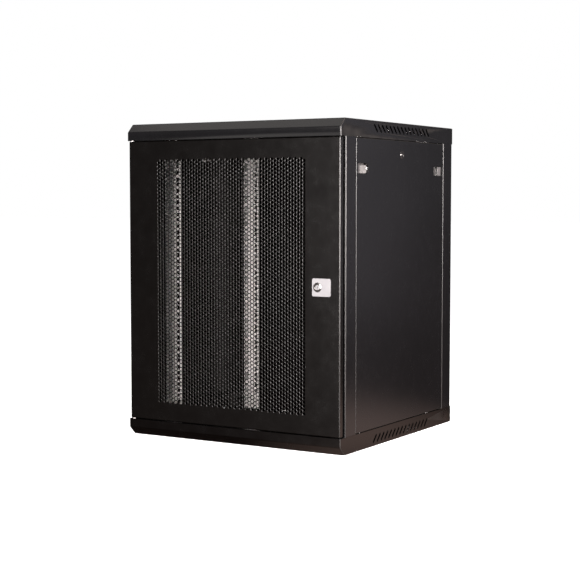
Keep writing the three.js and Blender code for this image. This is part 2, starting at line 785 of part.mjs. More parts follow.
function railHoles() {
  const middle = HEIGHT / 2;
  const holes = [];
  for (let unit = 0; unit < RACK_UNITS; unit += 1) {
    const unitZ = middle + (unit - (RACK_UNITS - 1) / 2) * RACK_UNIT;
    for (const offset of EIA_OFFSETS) {
      for (const [x, size] of [[EIA_HALF_WIDTH, EIA_HOLE], [SECOND_ROW_X, SECOND_ROW_HOLE]]) {
        const half = size / 2;
        const z = unitZ + offset;
        holes.push(block(x - half, x + half, -1, RAIL_SHEET + 1, z - half, z + half));
      }
    }
  }
  return holes;
}

function rail() {
  const low = RAIL_END;
  const high = HEIGHT - RAIL_END;
  const face = block(RAIL_INNER_X, RAIL_OUTER_X, 0, RAIL_SHEET, low, high);
  const flange = block(RAIL_OUTER_X - RAIL_SHEET, RAIL_OUTER_X, 0, RAIL_FLANGE, low, high);
  const boltHoles = [BOLT_Z, HEIGHT - BOLT_Z].map((z) =>
    rodX(BOLT_RADIUS + GAP, RAIL_OUTER_X - BEYOND, RAIL_OUTER_X + BEYOND, BOLT_BACK, z, 12),
  );
  return toGeometry(cut(face.add(flange), [...railHoles(), ...boltHoles]));
}

function railBolt() {
  const head = RAIL_OUTER_X - RAIL_SHEET - 0.3;
  const nut = BRACKET_X + SHEET + 0.3;
  return turnedGeometry(
    [
      [0, head - 3.4],
      [5.2, head - 3.4],
      [5.2, head],
      [BOLT_RADIUS, head],
      [BOLT_RADIUS, nut],
      [5.2, nut],
      [5.2, nut + 4],
      [0, nut + 4],
    ],
    6,
  ).rotateY(Math.PI / 2);
}

function addRail(side, sideName, place, y) {
  const group = addGroup(side, { position: [0, y, 0] });
  addPiece(group, `${place}_${sideName}_rail`, rail(), zinc);
  for (const [level, z] of [["lower", BOLT_Z], ["upper", HEIGHT - BOLT_Z]]) {
    const bolt = addPiece(group, `${place}_${sideName}_rail_${level}_bolt`, railBolt(), zinc);
    bolt.position.set(0, BOLT_BACK, z);
  }
}

// An angle from the front post to the rear post, with a slot for each rail's bolt.
function depthBracket() {
  const y0 = FRONT_POST_Y + SHEET + GAP;
  const y1 = REAR_POST_Y - SHEET - GAP;
  const web = block(BRACKET_X, BRACKET_X + SHEET, y0, y1, 0, BRACKET_HEIGHT);
  const foot = block(BRACKET_X, BRACKET_X + BRACKET_FOOT, y0, y1, 0, SHEET);
  const width = 2 * (BOLT_RADIUS + GAP);
  const rails = [
    [FRONT_RAIL_Y, FRONT_RAIL_TRAVEL],
    [REAR_RAIL_Y, REAR_RAIL_TRAVEL],
  ];
  const slots = rails.map(([y, [back, on]]) => {
    const middle = y + BOLT_BACK + (on + back) / 2;
    const outline = slotOutline(on - back + width + 2, width, 0);
    const placed = moved(outline, middle, BOLT_Z - BRACKET_Z);
    return prismX(placed, BRACKET_X - BEYOND, BRACKET_X + BEYOND);
  });
  return toGeometry(cut(web.add(foot), slots));
}

function addDepthBrackets(side, name) {
  const lower = addGroup(side, { position: [0, 0, BRACKET_Z] });
  addPiece(lower, `lower_${name}_depth_bracket`, depthBracket(), blackPaint);
  const upper = addGroup(side, { position: [0, 0, HEIGHT - BRACKET_Z], scale: [1, 1, -1] });
  addPiece(upper, `upper_${name}_depth_bracket`, depthBracket(), blackPaint);
}

// ---- Put it together. The left side is the right side mirrored.

addCover("bottom", {});
addCover("top", { position: [0, 0, HEIGHT], rotation: [0, Math.PI, 0] });
addPiece(cabinet, "back_panel", backPanel(), blackPaint);
addPiece(cabinet, "door_panel", doorPanel(), blackPaint);
addPiece(cabinet, "door_lock_plate", lockPlate(), satinChrome);
addDoorLock();
addHinge();

for (const [name, mirror] of [["right", 1], ["left", -1]]) {
  const side = addGroup(cabinet, { scale: [mirror, 1, 1] });
  addPosts(side, name);
  addPiece(side, `${name}_side_panel`, sidePanel(), blackPaint);
  addLatch(side, `${name}_front`, { position: [0, PANEL_FRONT_Y, LATCH_Z] });
  addLatch(side, `${name}_rear`, { position: [0, PANEL_REAR_Y, LATCH_Z], scale: [1, -1, 1] });
  addSideLock(side, name);
  addDepthBrackets(side, name);
  addRail(side, name, "front", FRONT_RAIL_Y);
  addRail(side, name, "rear", REAR_RAIL_Y);
}

export default cabinet;
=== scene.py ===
"""Looks of the 15-unit wall-mounting network cabinet, built round its CAD frame. Metres, +Z up."""

import json
import math
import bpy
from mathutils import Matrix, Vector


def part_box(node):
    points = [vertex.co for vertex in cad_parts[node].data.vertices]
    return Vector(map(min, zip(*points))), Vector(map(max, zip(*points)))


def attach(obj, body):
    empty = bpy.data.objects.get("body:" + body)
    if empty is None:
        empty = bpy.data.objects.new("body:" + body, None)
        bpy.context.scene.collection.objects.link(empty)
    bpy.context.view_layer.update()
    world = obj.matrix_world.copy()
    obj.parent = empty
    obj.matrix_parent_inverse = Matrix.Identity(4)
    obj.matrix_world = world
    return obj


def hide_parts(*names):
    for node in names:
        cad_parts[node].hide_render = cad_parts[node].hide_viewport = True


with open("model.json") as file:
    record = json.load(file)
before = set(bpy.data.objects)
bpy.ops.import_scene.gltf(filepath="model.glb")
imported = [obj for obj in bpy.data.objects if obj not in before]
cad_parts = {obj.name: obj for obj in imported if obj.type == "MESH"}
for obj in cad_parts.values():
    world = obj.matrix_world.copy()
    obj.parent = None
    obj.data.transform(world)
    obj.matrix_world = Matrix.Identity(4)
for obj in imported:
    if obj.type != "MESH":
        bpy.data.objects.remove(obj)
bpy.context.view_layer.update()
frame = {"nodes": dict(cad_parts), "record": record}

import bmesh
import bpy
import numpy as np
from mathutils import Vector
from mathutils.geometry import delaunay_2d_cdt

MM = 0.001

# Folded sheet.
SHEET = 1.5 * MM
GAP = 0.4 * MM
BEND = 2.5 * MM
BEND_STEPS = 5
RIM = 0.3 * MM
BEYOND = 5 * MM

# Covers.
COVER_BEVEL = 20 * MM
HEM_REACH = 262 * MM
HEM_DEPTH = 14 * MM
VENTS = 15
VENT_PITCH = 19.9 * MM
VENT_WIDTH = 6 * MM
VENT_RISE = 20 * MM
VENT_MIDDLE_Y = 8.5 * MM
VENT_MIDDLE_Z = 18 * MM
ENTRY_WIDTH = 300 * MM
ENTRY_DEPTH = 80 * MM
ENTRY_TO_BACK = 90 * MM
PLATE_LAP = 12 * MM
PLATE_SCREW_RADIUS = 2.2 * MM
FAN_RADIUS = 54 * MM
FAN_X = 115 * MM
FAN_Y = -30 * MM
FAN_SLOTS = 11
FAN_SLOT_PITCH = 9.4 * MM
FAN_SLOT_WIDTH = 4.4 * MM

# Posts and side panels.
POST_SEAT = 19 * MM
POST_END = 6 * MM
FRONT_POST_DEPTH = 50 * MM
REAR_POST_DEPTH = 52 * MM
LATCH_Z = 656.5 * MM
LATCH_NEAR = 8 * MM
LATCH_FAR = 58 * MM
LATCH_HEIGHT = 24 * MM
TONGUE_TOP = 7.2 * MM
TONGUE_BASE = 9.7 * MM
TONGUE_HEIGHT = 14 * MM
TONGUE_PLAY = 0.6 * MM
TONGUE_PLAY_HIGH = 0.8 * MM
TONGUE_SLOT_PLAY = 0.8 * MM
TONGUE_SLOT_PLAY_HIGH = 1 * MM
HOOK_DROP = 11 * MM
HOOK_WIDTH = 40 * MM
HOOK_Y = 110 * MM
HOOK_INSET = 7.2 * MM
SIDE_LOCK_HOLE = 8.4 * MM
CAM_SLOT_PLAY = 0.6 * MM
CAM_SLOT_BEFORE = 11 * MM
CAM_SLOT_BEYOND = 31 * MM

# Back panel.
KEYHOLE_X = 135 * MM
KEYHOLE_RADIUS = 7 * MM
KEYHOLE_SLOT = 26 * MM
KEYHOLE_SLOT_RISE = 9 * MM
KEYHOLE_FROM_BOTTOM = 75 * MM
KEYHOLE_FROM_TOP = 85 * MM

# Door.
DOOR_LIP = 10 * MM
HOLE_COLUMNS = 53
HOLE_ROWS = 65
HOLE_PITCH = 9.1 * MM
HOLE_APOTHEM = 3.5 * MM
HOLES_MIDDLE_X = -2.5 * MM
HOLE_RIM = 0.45 * MM
DOOR_SIDE_GAP = 3 * MM
DOOR_SETBACK = 2.5 * MM
HINGE_INSET = 9 * MM
GUIDE_REACH_X = 8 * MM
GUIDE_REACH_Y = 5 * MM
GUIDE_THICKNESS = 2 * MM
PIN_HOLE = 3.3 * MM
GUIDE_Z = 690 * MM
DOOR_LOCK_HOLE = 9.4 * MM

# Locks.
PLATE_CORNER = 4 * MM
DOOR_BEZEL = 11 * MM
SIDE_BEZEL = 10 * MM
DOOR_BEZEL_DEPTH = 1.6 * MM
SIDE_BEZEL_DEPTH = 0.8 * MM
PLUG_RADIUS = 5.6 * MM
PLUG_CLEARANCE = 0.3 * MM
SPIGOT_RADIUS = 3 * MM
SHANK_STEP = 2 * MM
SPIGOT_BEYOND = 0.2 * MM
CAM_CLEARANCE = 0.3 * MM
PLATE_RIM = 0.6 * MM
PLATE_HOLE_PLAY = 0.3 * MM
# A bezel's lip: how far out from its bore, and how deep.
LIP = ((0, 0.5 * MM), (0.2 * MM, 0.15 * MM), (0.6 * MM, 0), (1.4 * MM, 0))
# A plug's nose: how far in from its radius, and how deep.
NOSE = ((0.6 * MM, 0.2 * MM), (0.2 * MM, 0.35 * MM), (0, 0.8 * MM))
# A bezel's rim: how far out across its crown, and how far down its depth.
DOME = ((0.35, 0.08), (0.7, 0.3), (0.9, 0.6))
CHAMFER = ((0.78, 0.02), (0.82, 0.08), (0.97, 0.85))
KEY_SLOT_WIDTH = 1.6 * MM
KEY_SLOT_HEIGHT = 7.2 * MM
KEY_SLOT_DEPTH = 4 * MM
KEY_SLOT_RIM = 0.12 * MM

# CAD pieces that are shown as they are. Angles are in degrees.
CAD_WELD = 0.002 * MM
CAD_FLAT_ANGLE = 0.5
CAD_RIM_ANGLE = 32
THIN_RIM = 0.2 * MM

# The middle of the cabinet.
MIDDLE = (0.0, 0.0, 0.385)

# Powder coat: how much light it gives back.
COAT_DARK = 0.0032
COAT_LIGHT = 0.0044
COAT_SPECK = 0.010
FOLD_ROUGHNESS = 0.1

# Camera and light. WARM_PATCH is the middle of the warm light that the floor gives the right side.
CAMERA_PLACE = (1.8162, -3.0428, 0.5844)
CAMERA_TURN = 31.025
CAMERA_DIP = 3.716
CAMERA_LENS = 86.4
SENSOR_WIDTH = 36
FLOOR_SIZE = 30
FLOOR_DROP = 0.2 * MM
WARM_PATCH = (0.8, -0.1, 0)
STUDIO_FRONT = 0.03
STUDIO_BACK = 0.08
WARM_LIGHT = (1.0, 0.94, 0.92)


# ---- Mesh helpers

def link(name, bm):
    mesh = bpy.data.meshes.new(name)
    bm.to_mesh(mesh)
    bm.free()
    obj = bpy.data.objects.new(name, mesh)
    bpy.context.scene.collection.objects.link(obj)
    return obj


def bake(obj):
    """Turns obj's modifiers into mesh."""
    graph = bpy.context.evaluated_depsgraph_get()
    mesh = bpy.data.meshes.new_from_object(obj.evaluated_get(graph))
    obj.modifiers.clear()
    obj.data = mesh
    return obj


def at(axis, along, pair):
    """The point at `along` on axis 0, 1 or 2, with pair on the two others in x, y, z order."""
    point = list(pair)
    point.insert(axis, along)
    return point


def add_prism(bm, outline, axis, start, end):
    low = [bm.verts.new(at(axis, start, pair)) for pair in outline]
    high = [bm.verts.new(at(axis, end, pair)) for pair in outline]
    faces = [bm.faces.new(low), bm.faces.new(high[::-1])]
    for i, vert in enumerate(low):
        j = (i + 1) % len(low)
        faces.append(bm.faces.new((vert, high[i], high[j], low[j])))
    bmesh.ops.recalc_face_normals(bm, faces=faces)


def rectangle(left, right, bottom, top):
    return [(left, bottom), (right, bottom), (right, top), (left, top)]


def circle(x, y, radius, steps=32):
    turns = [2 * math.pi * i / steps for i in range(steps)]
    return [(x + radius * math.cos(t), y + radius * math.sin(t)) for t in turns]


def arc(x, y, radius, start, end, steps=8):
    turns = [math.radians(start + (end - start) * i / steps) for i in range(steps + 1)]
    return [(x + radius * math.cos(t), y + radius * math.sin(t)) for t in turns]


def slot_outline(x, y, length, width, tilt):
    """A slot with round ends, tilted by an angle in degrees."""
    reach = (length - width) / 2
    a = math.radians(tilt)
    dx, dy = reach * math.cos(a), reach * math.sin(a)
    ahead = arc(x + dx, y + dy, width / 2, tilt - 90, tilt + 90)
    return ahead + arc(x - dx, y - dy, width / 2, tilt + 90, tilt + 270)


def rounded_rectangle(left, right, bottom, top, radius):
    outline = []
    corners = ((right, bottom, -90), (right, top, 0), (left, top, 90), (left, bottom, 180))
    for x, y, start in corners:
        inner_x = x - math.copysign(radius, x - (left + right) / 2)
        inner_y = y - math.copysign(radius, y - (bottom + top) / 2)
        outline += arc(inner_x, inner_y, radius, start, start + 90, 6)
    return outline


def rounded_path(points, radius, steps=BEND_STEPS):
    """points with each inner corner turned into an arc."""
    path = [Vector(points[0])]
    for before, corner, after in zip(points, points[1:], points[2:]):
        corner = Vector(corner)
        back = (Vector(before) - corner).normalized()
        on = (Vector(after) - corner).normalized()
        half = back.angle(on) / 2
        middle = corner + (back + on).normalized() * radius / math.sin(half)
        start = corner + back * radius / math.tan(half) - middle
        end = corner + on * radius / math.tan(half) - middle
        for i in range(steps + 1):
            path.append(middle + start.lerp(end, i / steps).normalized() * radius)
    return path + [Vector(points[-1])]


def ribbon(path, half):
    """The outline of a sheet that follows path, half its thickness to each side."""
    left, right = [], []
    for i, point in enumerate(path):
        before = path[max(i - 1, 0)]
        after = path[min(i + 1, len(path) - 1)]
        first = (point - before) if i else (after - point)
        second = (after - point) if i < len(path) - 1 else first
        normal = Vector((-first.y, first.x)).normalized() + Vector((-second.y, second.x)).normalized()
        normal = 2 * normal / normal.length_squared * half
        left.append(point + normal)
        right.append(point - normal)
    return [tuple(point) for point in left + right[::-1]]


def round_bends(bm, radius):
    """Rounds every fold of an open shell and leaves its raw edges alone."""
    folds = [e for e in bm.edges if len(e.link_faces) == 2 and e.calc_face_angle() > 0.3]
    bmesh.ops.bevel(
        bm,
        geom=folds,
        offset=radius,
        offset_type="OFFSET",
        segments=BEND_STEPS,
        profile=0.5,
        affect="EDGES",
        clamp_overlap=True,
    )


def thicken(obj, thickness=SHEET):
    """Gives a shell its sheet thickness, inwards."""
    solidify = obj.modifiers.new("thickness", "SOLIDIFY")
    solidify.thickness = thickness
    solidify.offset = -1
    solidify.use_even_offset = True
    solidify.use_quality_normals = True
    return bake(obj)


def boolean(obj, other, operation):
    modifier = obj.modifiers.new(operation, "BOOLEAN")
    modifier.operation = operation
    modifier.solver = "MANIFOLD"
    modifier.object = other
    bake(obj)
    bpy.data.objects.remove(other)
    return obj


def cut(obj, bm):
    return boolean(obj, link("cutter", bm), "DIFFERENCE")


def join(obj, bm):
    return boolean(obj, link("addition", bm), "UNION")


def triangulate(obj):
    """Splits the many-sided faces that a cut leaves."""
    bm = bmesh.new()
    bm.from_mesh(obj.data)
    bmesh.ops.triangulate(bm, faces=[f for f in bm.faces if len(f.verts) > 4])
    bm.to_mesh(obj.data)
    bm.free()


def soften(obj, width=RIM, segments=2, angle=35):
    """Rounds the raw edges a little and smooths the shading."""
    triangulate(obj)
    for polygon in obj.data.polygons:
        polygon.use_smooth = True
    if width:
        bevel = obj.modifiers.new("rim", "BEVEL")
        bevel.width = width
        bevel.segments = segments
        bevel.limit_method = "ANGLE"
        bevel.angle_limit = math.radians(angle)
        bevel.miter_outer = "MITER_ARC"
    normals = obj.modifiers.new("shading", "WEIGHTED_NORMAL")
    normals.keep_sharp = True
    return obj


def mirrored(obj, name):
    """A copy of obj on the other side of the cabinet's middle plane."""
    bm = bmesh.new()
    bm.from_mesh(obj.data)
    for vert in bm.verts:
        vert.co.x = -vert.co.x
    bmesh.ops.reverse_faces(bm, faces=bm.faces)
    return link(name, bm)


def open_box(low, high, axis, side):
    """A box shell between two corners, with one face left off."""
    bm = bmesh.new()
    bmesh.ops.create_cube(bm, size=1)
    middle, size = (low + high) / 2, high - low
    for vert in bm.verts:
        vert.co = middle + Vector(a * b for a, b in zip(vert.co, size))
    bm.normal_update()
    lid = next(f for f in bm.faces if f.normal[axis] * side > 0.9)
    bmesh.ops.delete(bm, geom=[lid], context="FACES_ONLY")
    return bm


def turned(name, profile, steps, place, axis, direction):
    """A solid of revolution. profile is (radius, depth); depth grows along direction on axis."""
    bm = bmesh.new()
    rings = []
    for radius, depth in profile:
        along = place[axis] + direction * depth
        across = [place[i] for i in range(3) if i != axis]
        if radius == 0:
            rings.append([bm.verts.new(at(axis, along, across))])
            continue
        points = circle(across[0], across[1], radius, steps)
        rings.append([bm.verts.new(at(axis, along, point)) for point in points])
    closed = profile[0] == profile[-1]
    if closed:
        for vert in rings[-1]:
            bm.verts.remove(vert)
        rings[-1] = rings[0]
    for first, second in zip(rings, rings[1:]):
        for i in range(steps):
            j = (i + 1) % steps
            corners = [first[i % len(first)], first[j % len(first)]]
            corners += [second[j % len(second)], second[i % len(second)]]
            bm.faces.new(list(dict.fromkeys(corners)))
    bmesh.ops.recalc_face_normals(bm, faces=bm.faces)
    return link(name, bm)


# ---- Materials

class Shader:
    """Short ways to build a node material. Noise is laid out in the object's own metres."""

    def __init__(self, name):
        self.material = bpy.data.materials.new(name)
        self.material.use_nodes = True
        self.tree = self.material.node_tree
        self.tree.nodes.clear()
        self.output = self.tree.nodes.new("ShaderNodeOutputMaterial")
        self.surface = self.tree.nodes.new("ShaderNodeBsdfPrincipled")
        self.tree.links.new(self.surface.outputs[0], self.output.inputs["Surface"])
        self.place = self.tree.nodes.new("ShaderNodeTexCoord").outputs["Object"]

    def node(self, kind, inputs=None, **settings):
        node = self.tree.nodes.new(kind)
        for key, value in settings.items():
            setattr(node, key, value)
        for key, value in (inputs or {}).items():
            self.feed(node.inputs[key], value)
        return node

    def feed(self, socket, value):
        if isinstance(value, bpy.types.NodeSocket):
            self.tree.links.new(value, socket)
        else:
            socket.default_value = value

    def stretch(self, scale):
        return self.node("ShaderNodeMapping", {"Vector": self.place, "Scale": scale}).outputs[0]

    def noise(self, scale, detail=3.0, roughness=0.5, place=None):
        inputs = {"Scale": scale, "Detail": detail, "Roughness": roughness}
        inputs["Vector"] = place or self.place
        return self.node("ShaderNodeTexNoise", inputs).outputs["Fac"]

    def remap(self, value, low, high, new_low, new_high):
        inputs = {"Value": value, "From Min": low, "From Max": high, "To Min": new_low, "To Max": new_high}
        return self.node("ShaderNodeMapRange", inputs).outputs[0]

    def blend(self, share, first, second):
        mix = self.node("ShaderNodeMix", data_type="RGBA")
        colours = [s for s in mix.inputs if s.type == "RGBA"]
        self.feed(mix.inputs["Factor"], share)
        self.feed(colours[0], first)
        self.feed(colours[1], second)
        return next(s for s in mix.outputs if s.type == "RGBA")

    def maths(self, operation, first, second=0.0):
        node = self.node("ShaderNodeMath", operation=operation)
        self.feed(node.inputs[0], first)
        self.feed(node.inputs[1], second)
        return node.outputs[0]

    def bump(self, height, distance, strength=1.0, normal=None):
        inputs = {"Height": height, "Distance": distance, "Strength": strength}
        if normal:
            inputs["Normal"] = normal
        return self.node("ShaderNodeBump", inputs).outputs[0]

    def folds(self):
        """Near 1 on upright folds and hole rims, where the normal is slanted, and 0 on flat faces."""
        normal = self.node("ShaderNodeTexCoord").outputs["Normal"]
        across = self.node("ShaderNodeSeparateXYZ", {"Vector": normal}).outputs[0]
        squared = self.maths("MULTIPLY", across, across)
        slant = self.maths("MULTIPLY", squared, self.maths("SUBTRACT", 1.0, squared))
        return self.remap(slant, 0.01, 0.15, 0.0, 1.0)

    def inward(self):
        """1 on faces that look towards the cabinet's middle and 0 on those that look out."""
        geometry = self.node("ShaderNodeNewGeometry").outputs
        reach = self.node(
            "ShaderNodeVectorMath",
            {0: geometry["Position"], 1: MIDDLE},
            operation="SUBTRACT",
        ).outputs[0]
        facing = self.node(
            "ShaderNodeVectorMath",
            {0: geometry["True Normal"], 1: reach},
            operation="DOT_PRODUCT",
        ).outputs["Value"]
        return self.remap(facing, 0.01, -0.01, 0.0, 1.0)

    def edges(self, radius):
        """Near 1 along sharp edges and 0 on flat faces."""
        soft = self.node("ShaderNodeBevel", {"Radius": radius}, samples=4).outputs[0]
        flat = self.node("ShaderNodeNewGeometry").outputs["Normal"]
        dot = self.node("ShaderNodeVectorMath", {0: soft, 1: flat}, operation="DOT_PRODUCT")
        return self.remap(dot.outputs["Value"], 0.995, 0.85, 0.0, 1.0)

    def finish(self, colour, roughness, metallic, normal, **more):
        inputs = {"Base Color": colour, "Roughness": roughness, "Metallic": metallic, "Normal": normal}
        for key, value in inputs.items():
            self.feed(self.surface.inputs[key], value)
        for key, value in more.items():
            self.feed(self.surface.inputs[key.replace("_", " ").title()], value)
        return self.material


def powder_coat(name, tint, worn, painted_inner_shade):
    """Semi-gloss black powder coat with a fine orange peel, thinner and rougher on the folds, whose
    lighter colour is wear and also a painted highlight. Faces that look into the cabinet can be painted in
    shade.
    """
    s = Shader(name)
    drift = s.noise(2.3, 2.0)
    grain = s.noise(1500.0, 2.0)
    dark = [COAT_DARK * part for part in tint] + [1]
    light = [COAT_LIGHT * part for part in tint] + [1]
    speck = [COAT_SPECK * part for part in tint] + [1]
    colour = s.blend(s.remap(drift, 0.35, 0.65, 0.0, 1.0), dark, light)
    colour = s.blend(s.remap(grain, 0.5, 0.8, 0.0, 0.35), colour, speck)
    # Lighter colour on the folds and hole walls: coat worn thin, and also a painted highlight on the lit
    # hole walls.
    fold = s.folds()
    wear_and_sheen = s.maths("MULTIPLY", fold, s.remap(s.noise(45.0, 4.0), 0.35, 0.65, 0.45, 0.8))
    colour = s.blend(wear_and_sheen, colour, worn)
    patch = s.remap(s.noise(35.0, 4.0), 0.3, 0.7, 0.22, 0.26)
    rough = s.maths("ADD", patch, s.remap(grain, 0.3, 0.7, -0.03, 0.03))
    rough = s.maths("ADD", rough, s.maths("MULTIPLY", fold, FOLD_ROUGHNESS))
    # Painted shade: faces that look into the cabinet are painted near black, and their reflection is
    # turned down.
    if painted_inner_shade:
        inside = s.inward()
        colour = s.blend(inside, colour, (0.001, 0.001, 0.001, 1))
        s.feed(s.surface.inputs["Specular IOR Level"], s.remap(inside, 0.0, 1.0, 0.5, 0.1))
    peel = s.bump(s.noise(520.0, 2.0), 0.005 * MM, 0.5)
    wave = s.bump(s.noise(9.0, 1.0), 0.2 * MM, 0.2, peel)
    return s.finish(colour, rough, 0.0, wave)


def zinc_plate(name, shade, metallic, roughness, relief, inside_shade):
    """Zinc plate: a faint spangle, cloudy patches and a few marks. inside_shade paints shade on faces that
    look into the cabinet; None: alike all round.
    """
    s = Shader(name)
    spangle = s.node("ShaderNodeTexVoronoi", {"Vector": s.place, "Scale": 260.0}).outputs["Color"]
    tone = s.node("ShaderNodeSeparateColor", {"Color": spangle}).outputs[0]
    cloud = s.remap(s.noise(28.0, 4.0), 0.3, 0.7, 0.0, 1.0)
    dark = (shade, 0.95 * shade, 0.93 * shade, 1)
    light = (1.12 * shade, 1.07 * shade, 1.05 * shade, 1)
    colour = s.blend(cloud, dark, light)
    colour = s.blend(s.remap(tone, 0.0, 1.0, 0.0, 0.25), colour, (shade, shade, shade, 1))
    marks = s.noise(60.0, 5.0, 0.7, s.stretch((1.0, 1.0, 14.0)))
    worn = (0.5 * shade, 0.5 * shade, 0.49 * shade, 1)
    colour = s.blend(s.remap(marks, 0.62, 0.8, 0.0, 0.3), colour, worn)
    # Painted shade: faces that look into the cabinet take the inside colour.
    if inside_shade is not None:
        colour = s.blend(s.inward(), colour, (inside_shade, inside_shade, inside_shade, 1))
    patch = s.remap(tone, 0.0, 1.0, roughness, roughness + 0.08)
    rough = s.maths("ADD", patch, s.remap(cloud, 0.0, 1.0, -0.03, 0.05))
    fine = s.bump(marks, 0.03 * MM, relief)
    fine = s.bump(s.noise(700.0, 2.0), 0.02 * MM, relief, fine)
    return s.finish(colour, rough, metallic, fine)


def satin_metal(name, shade):
    """Satin nickel on the locks: a fine vertical brush and slightly lighter, worn rims."""
    s = Shader(name)
    brush = s.noise(900.0, 3.0, 0.6, s.stretch((1.0, 1.0, 0.08)))
    cloud = s.noise(70.0, 3.0)
    dark = (shade, 0.95 * shade, 0.93 * shade, 1)
    light = (1.1 * shade, 1.06 * shade, 1.04 * shade, 1)
    colour = s.blend(s.remap(cloud, 0.3, 0.7, 0.0, 1.0), dark, light)
    colour = s.blend(s.maths("MULTIPLY", s.edges(0.5 * MM), 0.4), colour, (0.55, 0.54, 0.53, 1))
    rough = s.remap(brush, 0.3, 0.7, 0.16, 0.26)
    return s.finish(colour, rough, 0.95, s.bump(brush, 0.01 * MM, 0.4))


def pearl_plate():
    """Light pearl finish of the lock plate, with a fine grain."""
    s = Shader("pearl_plate")
    grain = s.noise(1100.0, 2.0)
    cloud = s.noise(55.0, 3.0)
    colour = s.blend(s.remap(cloud, 0.3, 0.7, 0.0, 1.0), (0.24, 0.236, 0.248, 1), (0.28, 0.276, 0.286, 1))
    colour = s.blend(s.maths("MULTIPLY", s.edges(0.5 * MM), 0.3), colour, (0.35, 0.35, 0.35, 1))
    rough = s.remap(grain, 0.3, 0.7, 0.38, 0.5)
    return s.finish(colour, rough, 0.15, s.bump(grain, 0.02 * MM, 0.4))


def spring_steel():
    """Dark, oiled spring steel."""
    s = Shader("spring_steel")
    drawn = s.noise(400.0, 4.0, 0.6)
    colour = s.blend(s.remap(drawn, 0.3, 0.7, 0.0, 1.0), (0.16, 0.16, 0.165, 1), (0.26, 0.255, 0.25, 1))
    rough = s.remap(s.noise(130.0, 3.0), 0.3, 0.7, 0.28, 0.42)
    return s.finish(colour, rough, 0.9, s.bump(drawn, 0.02 * MM, 0.4))


# The last argument paints shade on faces that look into the cabinet.
BLACK = powder_coat("black_powder_coat", (0.98, 0.96, 1.08), (0.022, 0.020, 0.019, 1), True)
# A darker, warmer copy of the coat for the door: painted shade.
SHADED_DOOR_BLACK = powder_coat("black_powder_coat_shaded_door", (0.40, 0.33, 0.30), (0.014, 0.013, 0.012, 1), False)
# A darker, warmer copy of the coat for the bottom cover: painted shade, darker towards the bottom.
SHADED_LOW_BLACK = powder_coat("black_powder_coat_shaded_low", (0.2, 0.13, 0.12), (0.022, 0.020, 0.019, 1), True)
# A darker copy of the coat for the back panel inside: painted shade.
SHADED_INNER_BLACK = powder_coat("black_powder_coat_shaded_inside", (0.3, 0.3, 0.3), (0.004, 0.004, 0.004, 1), True)
# Two copies of the zinc: a light one, painted light on the rails lit through the door, and a darker,
# shinier one, painted shade on the latches.
LIT_ZINC = zinc_plate("zinc_plate", 0.88, 0.15, 0.22, 0.3, None)
SHADED_LATCH_ZINC = zinc_plate("shaded_bright_zinc_plate", 0.30, 0.9, 0.32, 0.1, 0.04)
SATIN = satin_metal("satin_metal", 0.30)
DARK_SATIN = satin_metal("dark_satin_metal", 0.13)
PEARL = pearl_plate()
SPRING = spring_steel()
FINISHES = {
    "black_powder_coat": BLACK,
    "zinc_plate": LIT_ZINC,
    "satin_metal": SATIN,
    "spring_steel": SPRING,
}
SLOTS = {entry["node"]: entry["material_slot"] for entry in frame["record"]["subparts"]}
BODIES = {n: body for body, nodes in frame["record"]["behaviour"]["bodies"].items() for n in nodes}


def paint(obj, material):
    obj.data.materials.clear()
    obj.data.materials.append(material)


def stands_for(obj, node, material=None):
    """obj takes the place, body, slot and finish of a CAD node."""
    paint(obj, material or FINISHES[SLOTS[node]])
    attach(obj, BODIES[node])
    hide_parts(node)


# ---- Covers

def vent_cuts(bm, low, high, flip):
    length = math.sqrt(2) * (VENT_RISE - VENT_WIDTH) + VENT_WIDTH
    z = high.z - VENT_MIDDLE_Z if flip else low.z + VENT_MIDDLE_Z
    tilt = -45 if flip else 45
    for i in range(VENTS):
        y = VENT_MIDDLE_Y + (i - (VENTS - 1) / 2) * VENT_PITCH
        add_prism(bm, slot_outline(y, z, length, VENT_WIDTH, tilt), 0, low.x - BEYOND, low.x + BEYOND)
        add_prism(bm, slot_outline(y, z, length, VENT_WIDTH, tilt), 0, high.x - BEYOND, high.x + BEYOND)


def entry_cuts(bm, y, face):
    half = ENTRY_WIDTH / 2
    outline = rectangle(-half, half, y - ENTRY_DEPTH / 2, y + ENTRY_DEPTH / 2)
    add_prism(bm, outline, 2, face - BEYOND, face + BEYOND)
    for x in (-half - PLATE_LAP / 2, half + PLATE_LAP / 2):
        add_prism(bm, circle(x, y, PLATE_SCREW_RADIUS, 16), 2, face - BEYOND, face + BEYOND)


def fan_cuts(bm, face):
    for middle in (-FAN_X, FAN_X):
        for i in range(FAN_SLOTS):
            across = (i - (FAN_SLOTS - 1) / 2) * FAN_SLOT_PITCH
            reach = math.sqrt(FAN_RADIUS**2 - across**2)
            outline = slot_outline(middle + across, FAN_Y, 2 * reach, FAN_SLOT_WIDTH, 90)
            add_prism(bm, outline, 2, face - BEYOND, face + BEYOND)


